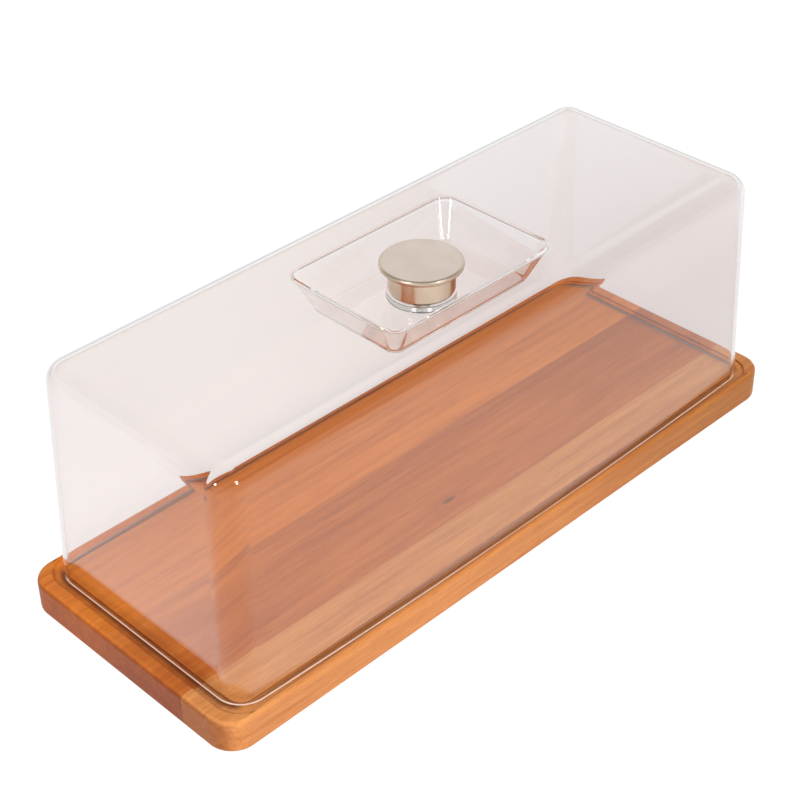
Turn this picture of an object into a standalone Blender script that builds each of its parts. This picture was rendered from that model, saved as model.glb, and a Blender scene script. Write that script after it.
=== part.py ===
"""Cake box: a grooved hardwood board and a clear moulded cover with a metal knob in a well on its top.

Metres, +Z up, +X along the board's length. The origin is the centre of the board's underside.
"""

import math

import bmesh
import bpy

# Board
BOARD_LENGTH = 0.380
BOARD_WIDTH = 0.145
BOARD_THICKNESS = 0.018
BOARD_CORNER_RADIUS = 0.0136
BOARD_TOP_ROUNDING = 0.0025
BOARD_BOTTOM_ROUNDING = 0.0027
FRONT_STAVE_WIDTH = 0.0313
MIDDLE_STAVE_WIDTH = 0.0535
GLUE_LINE = 0.0003

# Groove that the cover stands in
GROOVE_END_MARGIN = 0.0072
GROOVE_SIDE_MARGIN = 0.0022
GROOVE_WIDTH = 0.0072
GROOVE_DEPTH = 0.0015

# Cover. It clears the raised middle at its ends and corners, and the groove's outer edge at its bowed sides
COVER_END_CLEARANCE = 0.0014
COVER_SIDE_CLEARANCE = 0.0008
COVER_INNER_CORNER_CLEARANCE = 0.0005
COVER_OUTER_CORNER_CLEARANCE = 0.0007
COVER_HEIGHT = 0.1197
COVER_WALL = 0.0018
COVER_CORNER_RADIUS = 0.0134
COVER_TOP_ROUNDING = 0.0114
COVER_DRAFT = math.radians(2.03)
COVER_SIDE_BOW = 0.0031
CORNER_TIGHTENING = 0.40

# Well in the cover's top
WELL_LENGTH = 0.1045
WELL_WIDTH = 0.070
WELL_DEPTH = 0.0189
WELL_CORNER_RADIUS = 0.0077
WELL_FLOOR_CORNER_RADIUS = 0.0030
WELL_DRAFT = math.radians(25.0)
WELL_RIM_ROUNDING = 0.0010
WELL_FLOOR_ROUNDING = 0.0020

# Boss that the knob stands on, which shows as a narrow ledge round the knob's stem
BOSS_LEDGE = 0.0005
BOSS_HEIGHT = 0.0027

# Knob
KNOB_STEM_RADIUS = 0.0161
KNOB_HEIGHT = 0.0148
KNOB_CAP_OVERHANG = 0.0040
KNOB_CAP_THICKNESS = 0.0034
KNOB_CAP_ROUNDING = 0.0013
KNOB_DOME = 0.0004
KNOB_FOOT_CHAMFER = 0.0004

# Fixings
SCREW_RADIUS = 0.0025
SCREW_HEAD_RADIUS = 0.0046
SCREW_HEAD_HEIGHT = 0.0032
SCREW_HEAD_ROUNDING = 0.0011
SCREW_GRIP = 0.0080
SCREW_SOCKET_RADIUS = 0.0015
SCREW_SOCKET_DEPTH = 0.0017
SCREW_HOLE_CLEARANCE = 0.0004
TAP_DEPTH_SPARE = 0.0015
SEAT_WASHER_THICKNESS = 0.0008
SEAT_WASHER_INSET = 0.0006
NYLON_WASHER_RADIUS = 0.0090
NYLON_WASHER_THICKNESS = 0.0010
STEEL_WASHER_RADIUS = 0.0075
STEEL_WASHER_THICKNESS = 0.0012

# Gap left between touching pieces
SEAT_GAP = 0.0003

# Share of a margin that a rounding may take, and the least radius that a corner keeps inside a rounding
ROUNDING_SHARE = 0.97
LEAST_CORNER_RADIUS = 0.0003

# Facets and shading
CORNER_STEPS = 8
SIDE_STEPS = 8
ROUNDING_STEPS = 5
SMALL_ROUNDING_STEPS = 3
ROUND_STEPS = 64
FIXING_STEPS = 32
SHARP_ANGLE = math.radians(35)
MERGE_DISTANCE = 1e-6

# Levels and sizes that follow from the values above
GROOVE_FLOOR_Z = BOARD_THICKNESS - GROOVE_DEPTH
GROOVE_HALF_LENGTH = BOARD_LENGTH / 2 - GROOVE_END_MARGIN
GROOVE_HALF_WIDTH = BOARD_WIDTH / 2 - GROOVE_SIDE_MARGIN
GROOVE_CORNER_RADIUS = COVER_CORNER_RADIUS + COVER_OUTER_CORNER_CLEARANCE
COVER_FOOT_Z = GROOVE_FLOOR_Z + SEAT_GAP
COVER_TOP_Z = COVER_FOOT_Z + COVER_HEIGHT
COVER_HALF_LENGTH = GROOVE_HALF_LENGTH - GROOVE_WIDTH + COVER_END_CLEARANCE + COVER_WALL
COVER_HALF_WIDTH = GROOVE_HALF_WIDTH - COVER_SIDE_CLEARANCE - COVER_SIDE_BOW
COVER_SIDE_SPACE = COVER_HALF_WIDTH - COVER_WALL - GROOVE_HALF_WIDTH + GROOVE_WIDTH
CORNER_SPACE = (COVER_END_CLEARANCE + COVER_SIDE_SPACE) / math.sqrt(2) - COVER_INNER_CORNER_CLEARANCE
RAISED_CORNER_RADIUS = COVER_CORNER_RADIUS - COVER_WALL - CORNER_SPACE / (math.sqrt(2) - 1)
WELL_FLOOR_Z = COVER_TOP_Z - WELL_DEPTH
BOSS_RADIUS = KNOB_STEM_RADIUS + BOSS_LEDGE
BOSS_TOP_Z = WELL_FLOOR_Z + BOSS_HEIGHT
SEAT_WASHER_Z = BOSS_TOP_Z + SEAT_GAP
KNOB_Z = SEAT_WASHER_Z + SEAT_WASHER_THICKNESS + SEAT_GAP
KNOB_CAP_RADIUS = KNOB_STEM_RADIUS + KNOB_CAP_OVERHANG
NYLON_WASHER_Z = WELL_FLOOR_Z - COVER_WALL - SEAT_GAP - NYLON_WASHER_THICKNESS
STEEL_WASHER_Z = NYLON_WASHER_Z - SEAT_GAP - STEEL_WASHER_THICKNESS
SCREW_HEAD_Z = STEEL_WASHER_Z - SEAT_GAP - SCREW_HEAD_HEIGHT
SCREW_TIP_Z = KNOB_Z + SCREW_GRIP


def clear_scene():
    for obj in list(bpy.data.objects):
        bpy.data.objects.remove(obj, do_unlink=True)


def material(name, color, roughness, metallic=0.0, transmission=0.0):
    made = bpy.data.materials.new(name)
    made.use_nodes = True
    shader = made.node_tree.nodes["Principled BSDF"]
    shader.inputs["Base Color"].default_value = (*color, 1.0)
    shader.inputs["Roughness"].default_value = roughness
    shader.inputs["Metallic"].default_value = metallic
    shader.inputs["Transmission Weight"].default_value = transmission
    return made


def new_object(name, bm, finish=None):
    """Links a mesh object made from bm, its faces turned outwards and its round parts shaded smooth."""
    bmesh.ops.recalc_face_normals(bm, faces=bm.faces)
    mesh = bpy.data.meshes.new(name)
    bm.to_mesh(mesh)
    bm.free()
    mesh.shade_smooth()
    mesh.set_sharp_from_angle(angle=SHARP_ANGLE)
    obj = bpy.data.objects.new(name, mesh)
    bpy.context.scene.collection.objects.link(obj)
    if finish:
        mesh.materials.append(finish)
    return obj


def arc(radius, start, end, steps):
    """(x, z) offsets from an arc's centre, from one angle to another in degrees."""
    for step in range(steps + 1):
        angle = math.radians(start + (end - start) * step / steps)
        yield radius * math.cos(angle), radius * math.sin(angle)


def rounded_rectangle(half_length, half_width, radius, z, bow=0.0):
    """Points round a rectangle with round corners, its long sides swollen by bow in a parabola."""
    points = []
    radius = max(radius, LEAST_CORNER_RADIUS)
    centre_x, centre_y = half_length - radius, half_width - radius
    for corner, (sign_x, sign_y) in enumerate(((1, 1), (-1, 1), (-1, -1), (1, -1))):
        for x, y in arc(radius, 90 * corner, 90 * corner + 90, CORNER_STEPS):
            points.append((sign_x * centre_x + x, sign_y * centre_y + y))
        if corner in (0, 2):
            for step in range(1, SIDE_STEPS):
                x = sign_x * centre_x * (1 - 2 * step / SIDE_STEPS)
                points.append((x, sign_y * half_width))
    return [
        (x, y + math.copysign(bow * (1 - (x / COVER_HALF_LENGTH) ** 2), y), z) for x, y in points
    ]


def loft(rings):
    """A closed bmesh through rings of equal count, with a flat cap on the first and the last."""
    bm = bmesh.new()
    rows = [[bm.verts.new(point) for point in ring] for ring in rings]
    count = len(rows[0])
    for below, above in zip(rows, rows[1:]):
        for i in range(count):
            j = (i + 1) % count
            bm.faces.new((below[i], below[j], above[j], above[i]))
    bm.faces.new(rows[0])
    bm.faces.new(rows[-1])
    return bm


def turned(profile, steps):
    """A solid turned about Z from (radius, z) points that start and end on the axis, or meet."""
    bm = bmesh.new()
    verts = [bm.verts.new((radius, 0.0, z)) for radius, z in profile]
    edges = [bm.edges.new(pair) for pair in zip(verts, verts[1:])]
    bmesh.ops.spin(
        bm,
        geom=verts + edges,
        cent=(0, 0, 0),
        axis=(0, 0, 1),
        angle=2 * math.pi,
        steps=steps,
        use_merge=True,
    )
    bmesh.ops.remove_doubles(bm, verts=bm.verts, dist=MERGE_DISTANCE)
    return bm


def flat_washer(hole, radius, thickness):
    """A washer standing on z = 0, turned from its rectangular section."""
    section = ((hole, 0), (radius, 0), (radius, thickness), (hole, thickness), (hole, 0))
    return turned(section, FIXING_STEPS)


def helper(name, bm):
    """A cutter or a join piece, which isn't part of the object."""
    obj = new_object(name, bm)
    obj.hide_render = True
    obj.display_type = "WIRE"
    return obj


def cylinder(name, radius, low, high, steps):
    return helper(name, turned(((0, low), (radius, low), (radius, high), (0, high)), steps))


def combine(obj, other, operation):
    modifier = obj.modifiers.new(other.name, "BOOLEAN")
    modifier.operation = operation
    modifier.solver = "EXACT"
    modifier.object = other


def board_rings():
    """Rings from the underside, up the rounded side and through the groove to the raised middle."""
    margin = min(GROOVE_SIDE_MARGIN, GROOVE_END_MARGIN)
    top_rounding = min(BOARD_TOP_ROUNDING, ROUNDING_SHARE * margin)
    rings = []

    def outline(inset, z):
        rings.append(
            rounded_rectangle(
                BOARD_LENGTH / 2 - inset, BOARD_WIDTH / 2 - inset, BOARD_CORNER_RADIUS - inset, z
            )
        )

    for x, z in arc(BOARD_BOTTOM_ROUNDING, -90, 0, SMALL_ROUNDING_STEPS):
        outline(BOARD_BOTTOM_ROUNDING - x, BOARD_BOTTOM_ROUNDING + z)
    for x, z in arc(top_rounding, 0, 90, SMALL_ROUNDING_STEPS):
        outline(top_rounding - x, BOARD_THICKNESS - top_rounding + z)
    edges = (
        (0.0, GROOVE_CORNER_RADIUS, (BOARD_THICKNESS, GROOVE_FLOOR_Z)),
        (GROOVE_WIDTH, RAISED_CORNER_RADIUS, (GROOVE_FLOOR_Z, BOARD_THICKNESS)),
    )
    for inset, radius, levels in edges:
        for z in levels:
            rings.append(
                rounded_rectangle(GROOVE_HALF_LENGTH - inset, GROOVE_HALF_WIDTH - inset, radius, z)
            )
    return rings


def make_board():
    """Three hardwood staves, each the slice of the whole grooved board between its two glue lines."""
    light = material("oiled hardwood, light", (0.60, 0.32, 0.13), 0.42)
    dark = material("oiled hardwood, dark", (0.42, 0.19, 0.08), 0.42)
    front_joint = -BOARD_WIDTH / 2 + FRONT_STAVE_WIDTH
    back_joint = front_joint + MIDDLE_STAVE_WIDTH
    staves = (
        ("front_stave", -BOARD_WIDTH, front_joint - GLUE_LINE / 2, light),
        ("middle_stave", front_joint + GLUE_LINE / 2, back_joint - GLUE_LINE / 2, dark),
        ("back_stave", back_joint + GLUE_LINE / 2, BOARD_WIDTH, light),
    )
    for name, low, high, finish in staves:
        stave = new_object(name, loft(board_rings()), finish)
        bm = bmesh.new()
        bmesh.ops.create_cube(bm, size=1.0)
        bmesh.ops.scale(bm, vec=(2 * BOARD_LENGTH, high - low, 4 * BOARD_THICKNESS), verts=bm.verts)
        bmesh.ops.translate(bm, vec=(0, (low + high) / 2, 0), verts=bm.verts)
        combine(stave, helper(name + "_slice", bm), "INTERSECT")


def well_side(offset, rim_rounding, floor_rounding):
    """Rings down one face of the well. offset is 0 on top, and the wall's thickness on the underside."""
    level_top = COVER_TOP_Z - offset
    level_floor = WELL_FLOOR_Z - offset
    side = offset / math.cos(WELL_DRAFT)
    lean = math.tan(WELL_DRAFT)
    turn = 90 - math.degrees(WELL_DRAFT)
    tangent = math.tan(math.radians(turn / 2))
    full_inset = WELL_DEPTH * lean
    tighten = (WELL_CORNER_RADIUS - WELL_FLOOR_CORNER_RADIUS) / full_inset
    rings = []

    def ring(inset, z):
        along = min(max(inset + side, 0.0), full_inset)
        rings.append(
            rounded_rectangle(
                WELL_LENGTH / 2 - inset,
                WELL_WIDTH / 2 - inset,
                WELL_CORNER_RADIUS - along * tighten + offset,
                z,
            )
        )

    rim_corner = (level_top - COVER_TOP_Z) * -lean - side
    centre = rim_corner - rim_rounding * tangent
    for x, z in arc(rim_rounding, 90, 90 - turn, SMALL_ROUNDING_STEPS):
        ring(centre + x, level_top - rim_rounding + z)
    floor_corner = (level_floor - COVER_TOP_Z) * -lean - side
    centre = floor_corner + floor_rounding * tangent
    for x, z in arc(floor_rounding, 270 - turn, 270, SMALL_ROUNDING_STEPS):
        ring(centre + x, level_floor + floor_rounding + z)
    return rings


def wall_side(offset):
    """Rings down one face of the wall, from the top plate to the foot. offset is measured inwards."""
    rounding = COVER_TOP_ROUNDING - offset
    level_top = COVER_TOP_Z - offset
    spring_z = level_top - rounding
    spring_inset = (spring_z - COVER_FOOT_Z) * math.tan(COVER_DRAFT)
    rings = []

    def ring(inset, z, radius):
        fade = 1 - (z - COVER_FOOT_Z) / COVER_HEIGHT
        rings.append(
            rounded_rectangle(
                COVER_HALF_LENGTH - offset - inset,
                COVER_HALF_WIDTH - offset - inset,
                radius,
                z,
                COVER_SIDE_BOW * fade,
            )
        )

    spring_radius = COVER_CORNER_RADIUS - offset - CORNER_TIGHTENING * spring_inset
    for x, z in arc(rounding, 90, 0, ROUNDING_STEPS):
        ring(spring_inset + rounding - x, spring_z + z, spring_radius - rounding + x)
    ring(0.0, COVER_FOOT_Z, COVER_CORNER_RADIUS - offset)
    return rings


def make_cover():
    """One clear moulding: four drafted walls, a flat top, and the well with its boss and screw hole."""
    clear = material("clear acrylic", (0.95, 0.95, 0.96), 0.03, transmission=1.0)
    outer = list(reversed(well_side(0.0, WELL_RIM_ROUNDING, WELL_FLOOR_ROUNDING))) + wall_side(0.0)
    inner = list(reversed(wall_side(COVER_WALL))) + well_side(
        COVER_WALL, WELL_RIM_ROUNDING + COVER_WALL, WELL_FLOOR_ROUNDING
    )
    cover = new_object("cover", loft(outer + inner), clear)
    combine(
        cover,
        cylinder("boss", BOSS_RADIUS, WELL_FLOOR_Z - COVER_WALL / 2, BOSS_TOP_Z, ROUND_STEPS),
        "UNION",
    )
    combine(
        cover,
        cylinder(
            "screw_hole",
            SCREW_RADIUS + SCREW_HOLE_CLEARANCE,
            WELL_FLOOR_Z - 2 * COVER_WALL,
            BOSS_TOP_Z + COVER_WALL,
            FIXING_STEPS,
        ),
        "DIFFERENCE",
    )


def make_knob():
    """A turned metal knob: a drum under a wider cap with a rounded edge, tapped from below."""
    metal = material("pale gold metal", (0.72, 0.62, 0.48), 0.25, metallic=1.0)
    tap_radius = SCREW_RADIUS + SEAT_GAP
    tap_top = SCREW_GRIP + TAP_DEPTH_SPARE
    cap_low = KNOB_HEIGHT - KNOB_CAP_THICKNESS
    rim_top = KNOB_HEIGHT - KNOB_DOME
    edge = KNOB_CAP_RADIUS - KNOB_CAP_ROUNDING
    profile = [(0, tap_top), (tap_radius, tap_top), (tap_radius, 0)]
    profile += [
        (KNOB_STEM_RADIUS - KNOB_FOOT_CHAMFER, 0),
        (KNOB_STEM_RADIUS, KNOB_FOOT_CHAMFER),
        (KNOB_STEM_RADIUS, cap_low),
    ]
    profile += [
        (edge + x, cap_low + KNOB_CAP_ROUNDING + z)
        for x, z in arc(KNOB_CAP_ROUNDING, -90, 0, SMALL_ROUNDING_STEPS)
    ]
    profile += [
        (edge + x, rim_top - KNOB_CAP_ROUNDING + z)
        for x, z in arc(KNOB_CAP_ROUNDING, 0, 90, SMALL_ROUNDING_STEPS)
    ]
    profile += [(edge / 2, KNOB_HEIGHT - KNOB_DOME / 4), (0, KNOB_HEIGHT)]
    knob = new_object("knob", turned(profile, ROUND_STEPS), metal)
    knob.location.z = KNOB_Z


def make_fixings():
    """The screw that holds the knob from below, its two washers, and the clear washer under the knob."""
    steel = material("zinc-plated steel", (0.62, 0.62, 0.60), 0.30, metallic=1.0)
    nylon = material("white nylon", (0.86, 0.86, 0.84), 0.45)
    soft = material("clear soft plastic", (0.90, 0.90, 0.90), 0.20, transmission=0.8)
    head_edge = SCREW_HEAD_RADIUS - SCREW_HEAD_ROUNDING
    profile = [
        (0, SCREW_SOCKET_DEPTH),
        (SCREW_SOCKET_RADIUS, SCREW_SOCKET_DEPTH),
        (SCREW_SOCKET_RADIUS, 0),
    ]
    profile += [
        (head_edge + x, SCREW_HEAD_ROUNDING + z)
        for x, z in arc(SCREW_HEAD_ROUNDING, -90, 0, SMALL_ROUNDING_STEPS)
    ]
    profile += [
        (SCREW_HEAD_RADIUS, SCREW_HEAD_HEIGHT),
        (SCREW_RADIUS, SCREW_HEAD_HEIGHT),
        (SCREW_RADIUS, SCREW_TIP_Z - SCREW_HEAD_Z),
        (0, SCREW_TIP_Z - SCREW_HEAD_Z),
    ]
    screw = new_object("knob_screw", turned(profile, FIXING_STEPS), steel)
    screw.location.z = SCREW_HEAD_Z
    hole = SCREW_RADIUS + SEAT_GAP
    seat_radius = KNOB_STEM_RADIUS - SEAT_WASHER_INSET
    washers = (
        ("steel_washer", STEEL_WASHER_RADIUS, STEEL_WASHER_THICKNESS, STEEL_WASHER_Z, steel),
        ("nylon_washer", NYLON_WASHER_RADIUS, NYLON_WASHER_THICKNESS, NYLON_WASHER_Z, nylon),
        ("seat_washer", seat_radius, SEAT_WASHER_THICKNESS, SEAT_WASHER_Z, soft),
    )
    for name, radius, thickness, z, finish in washers:
        washer = new_object(name, flat_washer(hole, radius, thickness), finish)
        washer.location.z = z


clear_scene()
make_board()
make_cover()
make_knob()
make_fixings()
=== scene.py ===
"""Looks of a cake box: an oiled hardwood board, a clear moulded cover and a turned metal knob.

Metres, +Z up, +X along the board, +Y towards its back. Each piece has one operator, and the panel lists them.
"""

import math

import bmesh
import bpy
import numpy as np
from mathutils import Matrix, Vector


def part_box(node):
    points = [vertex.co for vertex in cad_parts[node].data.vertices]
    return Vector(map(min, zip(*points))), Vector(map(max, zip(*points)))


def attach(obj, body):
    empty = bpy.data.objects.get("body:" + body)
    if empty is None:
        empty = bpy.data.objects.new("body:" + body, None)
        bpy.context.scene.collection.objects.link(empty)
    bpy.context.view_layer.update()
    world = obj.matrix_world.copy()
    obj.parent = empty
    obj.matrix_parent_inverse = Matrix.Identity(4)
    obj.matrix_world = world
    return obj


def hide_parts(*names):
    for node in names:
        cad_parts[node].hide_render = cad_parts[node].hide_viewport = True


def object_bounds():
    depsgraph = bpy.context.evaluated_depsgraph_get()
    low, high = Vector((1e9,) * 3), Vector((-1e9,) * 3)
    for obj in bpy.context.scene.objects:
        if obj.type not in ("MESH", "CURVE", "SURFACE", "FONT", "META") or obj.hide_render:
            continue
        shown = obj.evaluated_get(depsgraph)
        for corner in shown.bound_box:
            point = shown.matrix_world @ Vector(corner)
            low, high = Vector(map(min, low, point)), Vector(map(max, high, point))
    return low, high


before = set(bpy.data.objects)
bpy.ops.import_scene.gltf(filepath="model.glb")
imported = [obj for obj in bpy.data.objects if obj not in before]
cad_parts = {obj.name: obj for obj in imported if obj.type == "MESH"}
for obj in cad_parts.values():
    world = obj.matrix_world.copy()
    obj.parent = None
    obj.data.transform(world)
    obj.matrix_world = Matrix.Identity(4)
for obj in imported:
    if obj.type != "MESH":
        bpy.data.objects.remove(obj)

bl_info = {
    "name": "Cake Box",
    "version": (1, 0, 0),
    "blender": (4, 5, 0),
    "location": "View3D > Sidebar > Cake Box",
    "description": "Builds a hardwood board, a clear cover and its metal knob around a packed model",
    "category": "Object",
}

CAD_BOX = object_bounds()
BOARD = CAD_BOX[1].copy()
BOARD.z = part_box("middle_stave")[1].z
FRONT_JOINT = (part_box("front_stave")[1].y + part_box("middle_stave")[0].y) / 2
BACK_JOINT = (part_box("middle_stave")[1].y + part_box("back_stave")[0].y) / 2
COVER_LOW, COVER_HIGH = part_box("cover")
KNOB_LOW, KNOB_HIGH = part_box("knob")
SEAT_LOW, SEAT_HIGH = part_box("seat_washer")
NYLON_LOW, NYLON_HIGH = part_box("nylon_washer")
STEEL_LOW, STEEL_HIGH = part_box("steel_washer")
SCREW_LOW, SCREW_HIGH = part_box("knob_screw")

MERGE_DISTANCE = 1e-7
FLATNESS = 0.00002
SHARP_ANGLE = math.radians(40)
SUPPORT_REACH = 0.0004
GLUE_HAIRLINE = 0.00004
KNOB_COLUMNS = 160
FIXING_COLUMNS = 72
SIDE_COLUMNS = {"corner_steps": 20, "long_steps": 60, "short_steps": 30}
COVER_COLUMNS = {"corner_steps": 24, "long_steps": 56, "short_steps": 32}

# Scales of the wood's patterns, along the grain and across it, in features to a metre.
WANDER_SCALE = (5.0, 26.0, 26.0)
BROAD_SCALE = (5.0, 48.0, 48.0)
STREAK_SCALE = (14.0, 330.0, 330.0)
FIBRE_SCALE = (45.0, 1500.0, 1500.0)
PORE_SCALE = (190.0, 2600.0, 2600.0)

# What the wood's tone is multiplied by in its palest and its deepest grain, and where it is darker:
# the end grain, and painted shade on the front face and about the cover's foot.
PALE_LIFT = (1.16, 1.26, 1.34)
DEEP_DROP = (0.80, 0.70, 0.64)
END_GRAIN_TINT = (0.57, 0.44, 0.30)
PAINTED_FALLOFF_TINT = (0.78, 0.78, 0.48)
PAINTED_FOOT_SHADE_TINT = (0.30, 0.24, 0.26)
KNOT_LENGTH, KNOT_WIDTH = 0.0042, 0.0014

# How dark the painted shade is about the cover's foot: outside it, inside it, and in the groove inside it.
SIDE_SHADE, MIDDLE_SHADE, GROOVE_SHADE, END_RELIEF = 0.1, 0.22, 0.55, 0.15

CAP_TONE = (0.79, 0.68, 0.60)
# Painted light and painted shade on the cover's matt underside: paler left and front, darker right and back.
PAINTED_LIT_FOOT_TONE, PAINTED_SHADED_FOOT_TONE = (0.85, 0.61, 0.49), (0.30, 0.20, 0.18)
MOST_MIRRORINGS = 2.5

WHITE = (1.0, 1.0, 1.0)
FLOOR_SHADE = (0.12, 0.0, 0.02)
FLOOR_HALF, FLOOR_DROP = 4.0, 0.0001
LAMP_AIM = Vector((-0.12, 0.0, 0.02))
LAMP_SPREAD = math.radians(100)

# Azimuth, elevation, distance, width, height, and whether shining surfaces mirror it.
LAMPS = {
    "front_lamp": (-6, 40, 1.3, 0.7, 0.7, False),
    "end_lamp": (82, 35, 1.3, 0.5, 0.5, False),
    "front_glint": (-8, 29, 1.5, 0.18, 0.30, True),
    "end_glint": (84, 29, 1.5, 0.18, 0.30, True),
}


def length(name, description, default):
    return bpy.props.FloatProperty(
        name=name, description=description, default=default, min=0.0, unit="LENGTH", precision=4
    )


def angle(name, description, degrees):
    return bpy.props.FloatProperty(
        name=name, description=description, default=math.radians(degrees), subtype="ANGLE"
    )


def colour(name, description, default):
    return bpy.props.FloatVectorProperty(
        name=name, description=description, default=default, size=3, min=0.0, max=1.0, subtype="COLOR"
    )


def share(name, description, default):
    return bpy.props.FloatProperty(name=name, description=description, default=default, min=0.0)


class BoardSettings(bpy.types.PropertyGroup):
    corner: length("Corner radius", "Radius of the board's upright corners", 0.0136)
    top_edge: length("Top edge rounding", "Radius of the edge round the top", 0.0025)
    bottom_edge: length("Bottom edge rounding", "Radius of the edge round the underside", 0.0027)
    end_margin: length("End margin", "Wood outside the groove at each end", 0.0072)
    side_margin: length("Side margin", "Wood outside the groove along each side", 0.0022)
    groove_width: length("Groove width", "Width of the groove", 0.0072)
    groove_depth: length("Groove depth", "Depth of the groove", 0.0015)
    groove_corner: length("Groove corner", "Radius of the groove's outer corners", 0.0141)
    outer_lip: length("Outer lip", "Radius of the groove's worn outer edge", 0.0009)
    inner_lip: length("Inner lip", "Radius of the edge of the raised middle", 0.0007)
    groove_heel: length("Groove heel", "Radius between the groove's sides and floor", 0.0004)
    back_tone: colour("Back stave", "Mean colour of the back stave", (0.615, 0.172, 0.023))
    middle_tone: colour("Middle stave", "Mean colour of the middle stave", (0.505, 0.136, 0.022))
    front_tone: colour("Front stave", "Mean colour of the front stave", (0.605, 0.230, 0.066))
    pore_tone: colour("Pores", "Colour of the pores and the knot", (0.16, 0.05, 0.018))


class CoverSettings(bpy.types.PropertyGroup):
    wall: length("Wall", "Thickness of the clear wall", 0.0018)
    corner: length("Corner radius", "Radius of the upright corners at the foot", 0.0134)
    top_edge: length("Top rounding", "Radius of the edge round the top", 0.0114)
    foot_edge: length("Foot rounding", "Radius of the foot's two edges", 0.00015)
    draft: angle("Draft", "Lean of the walls", 2.03)
    bow: length("Side bow", "Swelling of the long sides at the foot", 0.0031)
    tightening: share("Corner tightening", "Share of the draft that comes off the corner radius", 0.40)
    well_length: length("Well length", "Length of the well's rim", 0.1045)
    well_width: length("Well width", "Width of the well's rim", 0.070)
    well_depth: length("Well depth", "Depth of the well", 0.0189)
    well_corner: length("Well corner", "Radius of the rim's corners", 0.0077)
    floor_corner: length("Floor corner", "Radius of the well floor's corners", 0.0030)
    well_draft: angle("Well draft", "Lean of the well's sides", 25.0)
    rim_edge: length("Rim rounding", "Radius between the top and the well's sides", 0.0005)
    floor_edge: length("Floor rounding", "Radius between the well's sides and floor", 0.0020)
    boss_radius: length("Boss radius", "Radius of the boss under the knob", 0.0166)
    boss_height: length("Boss height", "Height of the boss", 0.0027)
    boss_edge: length("Boss edge", "Radius of the boss's top edge and foot", 0.0004)
    screw_hole: length("Screw hole", "Radius of the hole through the boss", 0.0029)
    tint: colour("Tint", "Colour of the clear plastic", (0.985, 0.978, 0.972))
    shade: colour("Shade", "Light that passes each face of the plastic", (0.985, 0.98, 0.975))


class KnobSettings(bpy.types.PropertyGroup):
    stem: length("Stem radius", "Radius of the drum", 0.0161)
    foot_edge: length("Foot edge", "Radius of the drum's lower edge", 0.0004)
    cap_thickness: length("Cap thickness", "Thickness of the cap", 0.0034)
    cap_edge: length("Cap rounding", "Radius of the cap's edge", 0.0013)
    dome: length("Dome", "Rise of the cap's top", 0.0004)
    tap: length("Tapped hole", "Radius of the hole for the screw", 0.0028)
    tap_depth: length("Tap depth", "Depth of the hole for the screw", 0.0095)
    metal: colour("Metal", "Colour of the pale gold metal", (0.74, 0.62, 0.49))


class FixingSettings(bpy.types.PropertyGroup):
    shank: length("Shank radius", "Radius of the screw's shank", 0.0025)
    head_height: length("Head height", "Height of the screw's head", 0.0032)
    head_edge: length("Head rounding", "Radius of the head's edge", 0.0011)
    socket: length("Socket", "Half of the six-sided socket's width", 0.0015)
    socket_depth: length("Socket depth", "Depth of the socket", 0.0017)
    hole: length("Washer hole", "Radius of the washers' holes", 0.0028)
    washer_edge: length("Washer edge", "Radius of the washers' edges", 0.00025)


class StageSettings(bpy.types.PropertyGroup):
    aim: bpy.props.FloatVectorProperty(
        name="Aim", description="Point that the camera looks at", default=(0.02930, 0.04530, 0.018),
        size=3, unit="LENGTH",
    )
    azimuth: angle("Azimuth", "Turn of the camera from the front towards the left end", 44.463)
    elevation: angle("Elevation", "Height of the camera above the horizon", 35.813)
    roll: angle("Roll", "Turn of the camera about its own line of sight", -0.768)
    distance: length("Distance", "From the camera to its aim", 0.9501)
    lens: bpy.props.FloatProperty(name="Lens", description="Focal length", default=81.322, unit="CAMERA")
    horizon: share("Horizon", "Brightness of the room at the horizon", 0.40)
    zenith: share("Zenith", "Brightness of the room overhead", 0.32)
    bright_side: share("Bright side", "Brightness of the mirrored room behind the board", 0.90)
    dim_side: share("Dim side", "Brightness of the mirrored room beside the board", 0.38)
    near_side: share("Near side", "Brightness of the mirrored room in front of the board", 0.72)
    deep_mirror: share("Deep mirror", "Brightness of the room after many mirrorings", 0.60)
    level_room: share("Level room", "Brightness of the level room through the cover", 0.96)
    high_room: share("High room", "Brightness of the high room through the cover", 0.60)
    deep_room: colour("Deep room", "Colour of the room seen through the cover's edges", (0.50, 0.33, 0.28))
    front_lamp: share("Front lamp", "Light of the lamp in front, as a share of full light", 0.18)
    end_lamp: share("End lamp", "Light of the lamp at the left end, as a share of full light", 0.100)
    front_glint: share("Front glint", "Light of the lamp in front that the cover mirrors", 0.070)
    end_glint: share("End glint", "Light of the lamp at the left end that the cover mirrors", 0.070)
    floor_glow: share("Floor glow", "Brightness of the floor where it is looked at", 0.86)


SETTINGS = {
    "cake_board": BoardSettings,
    "cake_cover": CoverSettings,
    "cake_knob": KnobSettings,
    "cake_fixings": FixingSettings,
    "cake_stage": StageSettings,
}


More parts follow.
